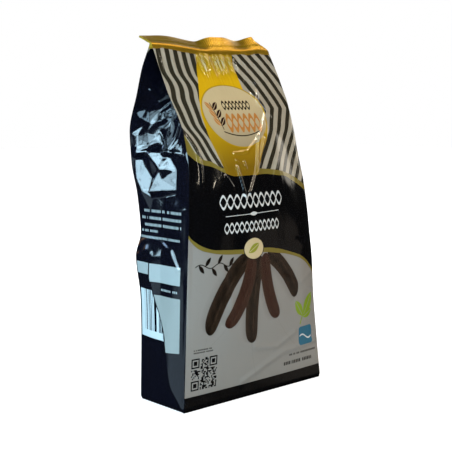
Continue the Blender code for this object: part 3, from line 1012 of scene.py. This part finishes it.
def print_vine(ink):
    aside = ink.across - VINE_LEFT
    vine = VINE_LEVEL + (aside * VINE_TURN).sine() * VINE_SWAY
    line = (0.3 - (ink.height - vine).size() * 0.75).edge()
    ink.lay(line * ink.across.within(VINE_LEFT, VINE_RIGHT), POD_DARK)
    for number in range(6):
        foot = 10 + 6 * number
        level = VINE_LEVEL + math.sin((foot - VINE_LEFT) * VINE_TURN) * VINE_SWAY
        turn = 1 if number % 2 else -1
        print_leaf(ink, (foot, level, foot + 5.0, level + 6.4 * turn, 0.2), POD_DARK)


def print_small_marks(ink):
    """The vine, code block, leaf sprig, blue tile and small rows on the pale panel."""
    print_vine(ink)
    ink.stamp(BLACK, "code_block", 5.5, 15.8, 24.5, 23.0, 5.0)
    for leaf in ((130, 56, 120, 70, 0.24), (130, 56, 146, 74, 0.22), (130, 55, 144, 60, 0.22)):
        print_leaf(ink, leaf, LEAF_GREEN, PANEL_WHITE)
    ink.stamp(LEAF_GREEN, "stroke", 130.0, 58.0, 126.0, 50.0, 0.6)
    inside, depth = ink.motif("plate", 133.0, 39.5, 9.0, 7.8, 2.5)
    ink.lay(inside, TILE_BLUE)
    wave = (38.5 + ((ink.across - 124) * 0.35).sine() * 2 - ink.height).size()
    ink.lay((0.6 - wave).edge() * (depth - 1.2).edge(), INK_WHITE)
    for block in ((7, 26, 43.6, 47.4, 1.9, 0.9, 2), (112, 150, 24.2, 27.2, 3, 1.3, 11),
                  (104, 152, 16.6, 21.8, 5.2, 2.1, 13)):
        ink.stamp(POD_DARK, "dash_rows", *block)


# Where the front lobe of the left gusset ends, for the print, as (height, across)
SIDE_FOLD = ((0, 2), (1, 1), *FOLD_LINE[1:-1])

# The left side's single rows of dashes: left, right, bottom, top and seed
SIDE_ROWS = ((7, 52, 145.6, 149.4, 1), (7, 50, 140.2, 144, 2), (7, 54, 134.9, 138.7, 3),
             (32, 54, 130.6, 133.8, 4), (8, 54, 125.8, 129, 5))


def print_left_side(across, height):
    """Navy film with rows of small dashes and two labels, the lower one half under the fold."""
    ink = Print(across, height, NAVY)
    for left, right, bottom, top, seed in SIDE_ROWS:
        ink.stamp(LABEL_WHITE, "dash_rows", left, right, bottom, top, top - bottom, 1.35, seed)
    fold = profile(height, SIDE_FOLD)
    for plate in ((44.0, 104.0, 7.0, 4.5, 0.4), (21.0, 101.5, 15.0, 6.8, 0.5)):
        ink.lay(ink.motif("plate", *plate)[0], LABEL_WHITE)
    ink.stamp(LABEL_WHITE, "dash_rows", 8, 30, 88, 91, 3, 1.6, 9)
    label = across.within(19, 50.5) * height.within(50.5, 87.5) * (across - fold - 0.8).edge()
    ink.lay(label, LABEL_BRIGHT)
    bars = place_group(MOTIFS["bars"], across, 0.42, 3.0)
    ink.lay(label * bars * (height - 56).edge() * across.within(24, 46), NAVY)
    front = across.within(5.5, fold - 1.6) * (85 - height).edge()
    ink.lay(front * (height - 45 + across * 0.1).edge(), LABEL_DULL)
    return ink.colour


def print_right_side(across, height):
    ink = Print(across, height, NAVY)
    ink.stamp(LABEL_WHITE, "dash_rows", 7, 45, 96, 150, 4.5, 1.35, 12)
    ink.lay(ink.motif("plate", 26.0, 62.0, 19.0, 24.0, 1.0)[0], LABEL_WHITE)
    ink.stamp(NAVY, "dash_rows", 9, 42, 42, 82, 4, 1.2, 14)
    return ink.colour


def print_back(across, height):
    ink = Print(across, height, BLACK)
    wave = profile(across, LOWER_WAVE)
    ink.lay(height.within(STRIP_TOP, wave), PANEL_WHITE)
    ink.lay(height.within(wave, profile(across, LOWER_WAVE_TOP)), GOLD)
    print_top(ink)
    ink.stamp(POD_DARK, "dash_rows", 12, 62, 30, 86, 4.2, 1.4, 21)
    ink.stamp(POD_DARK, "dash_rows", 90, 138, 30, 80, 4.2, 1.4, 22)
    ink.stamp(INK_WHITE, "dash_rows", 14, 64, 132, 160, 4.6, 1.4, 23)
    ink.stamp(INK_WHITE, "dash_rows", 88, 136, 128, 158, 4.6, 1.4, 24)
    return ink.colour


def print_seam(across, height):
    """The back panel's print, carried over the seam."""
    return print_back(HALF_WIDTH - across + height * SEAM_LEAN, height)


def plain_print(colour, dark):
    """A print of one ink, a little uneven as on a folded or crimped part."""
    def lay(across, height):
        place = vector(across * 0.05, height * 0.2)
        cloud = add_node(across.tree, "TexNoise", {"Vector": place, "Scale": 1.0})
        return mixed(Reading(across.tree, cloud.outputs["Fac"]) - 0.25, colour, dark)
    return lay


# Materials

def new_material(name):
    material = bpy.data.materials.new(name)
    material.use_nodes = True
    return material, material.node_tree, material.node_tree.nodes["Principled BSDF"]


def object_place(tree):
    return add_node(tree, "TexCoord", {}).outputs["Object"]


def film_coordinates(tree):
    """Across and height on a panel, in millimetres."""
    uv = add_node(tree, "UVMap", {}, uv_map="film")
    split = add_node(tree, "SeparateXYZ", {0: uv.outputs["UV"]})
    return Reading(tree, split.outputs[0]), Reading(tree, split.outputs[1])


def object_coordinates(tree):
    """The bag's own x and z in millimetres, for pieces that carry no panel coordinates."""
    split = add_node(tree, "SeparateXYZ", {0: object_place(tree)})
    return Reading(tree, split.outputs[0]) * (1 / MM), Reading(tree, split.outputs[2]) * (1 / MM)


def printed_material(name, print_panel, roughness=0.1, wrinkle=0.6, metallic=0.0,
                     coordinates=film_coordinates):
    """Glossy printed film: low roughness with worn lines, and fine wrinkles in its normal."""
    material, tree, shader = new_material(name)
    across, height = coordinates(tree)
    rise, wear = place_group(MOTIFS["wrinkles"], across, height, wrinkle)
    bump = add_node(tree, "Bump", {"Strength": 0.35, "Distance": MM, "Height": rise})
    feed_all(shader, {
        "Base Color": print_panel(across, height),
        "Roughness": wear + roughness,
        "Normal": bump.outputs[0],
        "Specular IOR Level": 0.9,
        "Coat Weight": 0.25 * (1 - metallic),
        "Coat Roughness": 0.06,
        "Metallic": metallic,
    })
    return material


def pod_material():
    """Leathery brown pod skin, unevenly shaded and finely pitted."""
    material, tree, shader = new_material("carob_pod_skin")
    place = object_place(tree)
    cloud = add_node(tree, "TexNoise", {"Vector": place, "Scale": 60.0, "Detail": 6.0})
    grain = add_node(tree, "TexNoise", {"Vector": place, "Scale": 900.0}).outputs["Fac"]
    bump = add_node(tree, "Bump", {"Strength": 0.4, "Distance": 0.3 * MM, "Height": grain})
    feed_all(shader, {
        "Base Color": mixed(Reading(tree, cloud.outputs["Fac"]), SKIN_DARK, SKIN_PALE),
        "Normal": bump.outputs[0],
        "Roughness": 0.5,
    })
    return material


# Camera, lights, floor and world

def add_camera():
    data = bpy.data.cameras.new("photo_camera")
    data.sensor_width = SENSOR
    data.lens = LENS
    camera = add_to_scene("photo_camera", data)
    camera.location = CAMERA_PLACE * MM
    camera.rotation_euler = (math.radians(90 - CAMERA_PITCH), 0, math.radians(-CAMERA_HEADING))
    bpy.context.scene.camera = camera


# The window to the left, as panes: bearing, elevation and share of light
WINDOW_RADIANCE = (5.7, 8.5, 10.3)
WINDOW_PANES = ((155, 10, 0.6), (155, 22, 0.7), (167, 9, 0.7), (179, 9, 1.0), (191, 9, 1.1),
                (203, 10, 0.6), (215, 11, 0.3), (167, 21, 0.9), (179, 21, 1.2), (191, 22, 1.2),
                (203, 23, 0.6), (215, 24, 0.3), (173, 33, 0.8), (186, 33, 0.8), (199, 34, 0.4))
PANE_SIZE = (0.19, 0.2)

# The other lights: name, bearing, elevation, distance, width, height and radiance
SOFT_LIGHTS = (
    ("front_soft", 282, 52, 1.3, 1.0, 0.8, (1.5, 1.27, 0.98)),
    ("front_strip", 290, 34, 1.2, 0.03, 0.6, (27, 24, 19)),
    ("side_pane", 237, 13, 1.0, 0.35, 0.3, (2.1, 3.3, 4.2)),
    ("sparkle", 318, 50, 1.2, 0.08, 0.08, (60, 54, 42)),
    ("warm_fill", 335, 48, 1.2, 0.4, 0.4, (3.4, 2.2, 1.15)),
    ("back_soft", 75, 40, 1.4, 1.0, 0.8, (2.2, 2.2, 2.3)),
    ("right_soft", 15, 20, 1.3, 0.7, 0.9, (1.6, 1.7, 1.9)),
)

# Where every light points, in metres
AIM = Vector((0, 0, 0.14))


def direction(bearing, elevation):
    """A direction as seen from the bag, in degrees. The bearing turns from +X to +Y."""
    a, e = math.radians(bearing), math.radians(elevation)
    return Vector((math.cos(a) * math.cos(e), math.sin(a) * math.cos(e), math.sin(e)))


def add_light(name, bearing, elevation, distance_off, width, height, radiance):
    """A rectangular soft light, in metres."""
    data = bpy.data.lights.new(name, "AREA")
    data.shape = "RECTANGLE"
    data.size = width
    data.size_y = height
    brightest = max(radiance)
    data.color = [part / brightest for part in radiance]
    data.energy = brightest * math.pi * width * height
    light = add_to_scene(name, data)
    towards = direction(bearing, elevation)
    light.location = AIM + towards * distance_off
    light.rotation_euler = towards.to_track_quat("Z", "Y").to_euler()
    light.visible_camera = False


def add_lights():
    for bearing, elevation, share in WINDOW_PANES:
        radiance = [part * share for part in WINDOW_RADIANCE]
        add_light("window_pane", bearing, elevation, 1.0, *PANE_SIZE, radiance)
    for light in SOFT_LIGHTS:
        add_light(*light)


# The floor, in metres: half its side, its drop below the bag, and where its glow to the camera rises
FLOOR_HALF = 4.0
FLOOR_DROP = 0.0002
FLOOR_NEAR = 0.15
FLOOR_FADE = 0.5
FLOOR_GLOW = 0.6
FLOOR_GLOW_RISE = 0.5


def add_floor():
    """A pale floor that glows towards the camera, more so away from the bag."""
    mesh = bpy.data.meshes.new("floor")
    corners = [(x * FLOOR_HALF, y * FLOOR_HALF, 0) for x, y in ((-1, -1), (1, -1), (1, 1), (-1, 1))]
    mesh.from_pydata(corners, [], [(0, 1, 2, 3)])
    material, tree, shader = new_material("pale_floor")
    away = add_node(tree, "VectorMath", {0: object_place(tree)}, operation="LENGTH")
    far = ((Reading(tree, away.outputs["Value"]) - FLOOR_NEAR) / FLOOR_FADE).most(0.0).least(1.0)
    seen = Reading(tree, add_node(tree, "LightPath", {}).outputs["Is Camera Ray"])
    feed_all(shader, {
        "Base Color": FLOOR_WHITE,
        "Roughness": 0.9,
        "Emission Color": (1, 1, 1),
        "Emission Strength": seen * (FLOOR_GLOW + far * FLOOR_GLOW_RISE),
    })
    mesh.materials.append(material)
    floor = add_to_scene("floor", mesh)
    floor.location.z = -FLOOR_DROP
    floor.visible_glossy = False


# Soft glows that the film mirrors: bearing, elevation, half width in degrees, radiance
ROOM_GLOWS = ((152, -16, 14, (0.33, 0.44, 0.52)), (322, -13, 17, (0.11, 0.095, 0.08)),
              (100, 8, 10, (1.3, 0.8, 0.5)), (122, 29, 12, (2.0, 3.0, 4.4)),
              (348, 14, 8, (1.6, 1.5, 1.3)), (60, 12, 16, (0.9, 0.95, 1.05)),
              (100, 35, 12, (1.6, 1.6, 1.7)), (20, 30, 12, (1.2, 1.25, 1.4)))
ROOM_DARK = 0.012
ROOM_LIGHT = 0.13


def reflected_room(tree):
    """What the film mirrors: a dark room with a few soft glows."""
    looking = add_node(tree, "TexCoord", {}).outputs["Generated"]
    colour = (ROOM_DARK, ROOM_DARK, ROOM_DARK)
    for bearing, elevation, half_width, radiance in ROOM_GLOWS:
        values = {0: looking, 1: direction(bearing, elevation)}
        near = add_node(tree, "VectorMath", values, operation="DOT_PRODUCT")
        rim = math.cos(math.radians(half_width))
        share = (Reading(tree, near.outputs["Value"]) - rim) / ((1 - rim) * 0.6)
        colour = mixed(share.most(0.0).least(1.0), colour, radiance)
    return colour


def add_world():
    """White behind the bag, soft grey light on it, and the dark room in its reflections."""
    world = bpy.data.worlds.new("studio")
    world.use_nodes = True
    tree = world.node_tree
    seen = add_node(tree, "LightPath", {})
    camera = Reading(tree, seen.outputs["Is Camera Ray"])
    glossy = Reading(tree, seen.outputs["Is Glossy Ray"])
    plain = camera + (1 - camera) * ROOM_LIGHT
    shown = mixed(glossy * (1 - camera), plain, reflected_room(tree))
    feed(shown, tree.nodes["Background"].inputs["Color"])
    bpy.context.scene.world = world


def main():
    add_camera()
    add_lights()
    add_floor()
    add_world()
    bpy.context.scene.view_settings.view_transform = "Standard"

    dark_print = plain_print(BLACK, NAVY)
    gold_print = plain_print(SEAL_GOLD, DEEP_YELLOW)
    film = make_film([
        printed_material("film_front", print_front),
        printed_material("film_right_side", print_right_side),
        printed_material("film_back", print_back),
        printed_material("film_left_side", print_left_side),
        printed_material("film_base", dark_print),
    ])
    foil = printed_material("seal_foil", gold_print, roughness=0.34, wrinkle=0.5, metallic=0.75)
    seal = make_seal(foil)
    strip = printed_material("seam_film", print_seam, 0.12, coordinates=object_coordinates)
    seam = make_back_seam(strip)
    for piece, node, slot in ((film, "bag_film", "printed_film"), (seal, "top_seal", "gold_seal"),
                              (seam, "back_seam", "printed_film")):
        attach(piece, "root")
        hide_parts(node)
    skin = pod_material()
    fold_film = printed_material("base_fold_film", dark_print, 0.12, coordinates=object_coordinates)
    for name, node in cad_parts.items():
        if name.startswith("pod_") or name == "base_seal":
            node.data.materials.clear()
            node.data.materials.append(skin if name.startswith("pod_") else fold_film)


main()
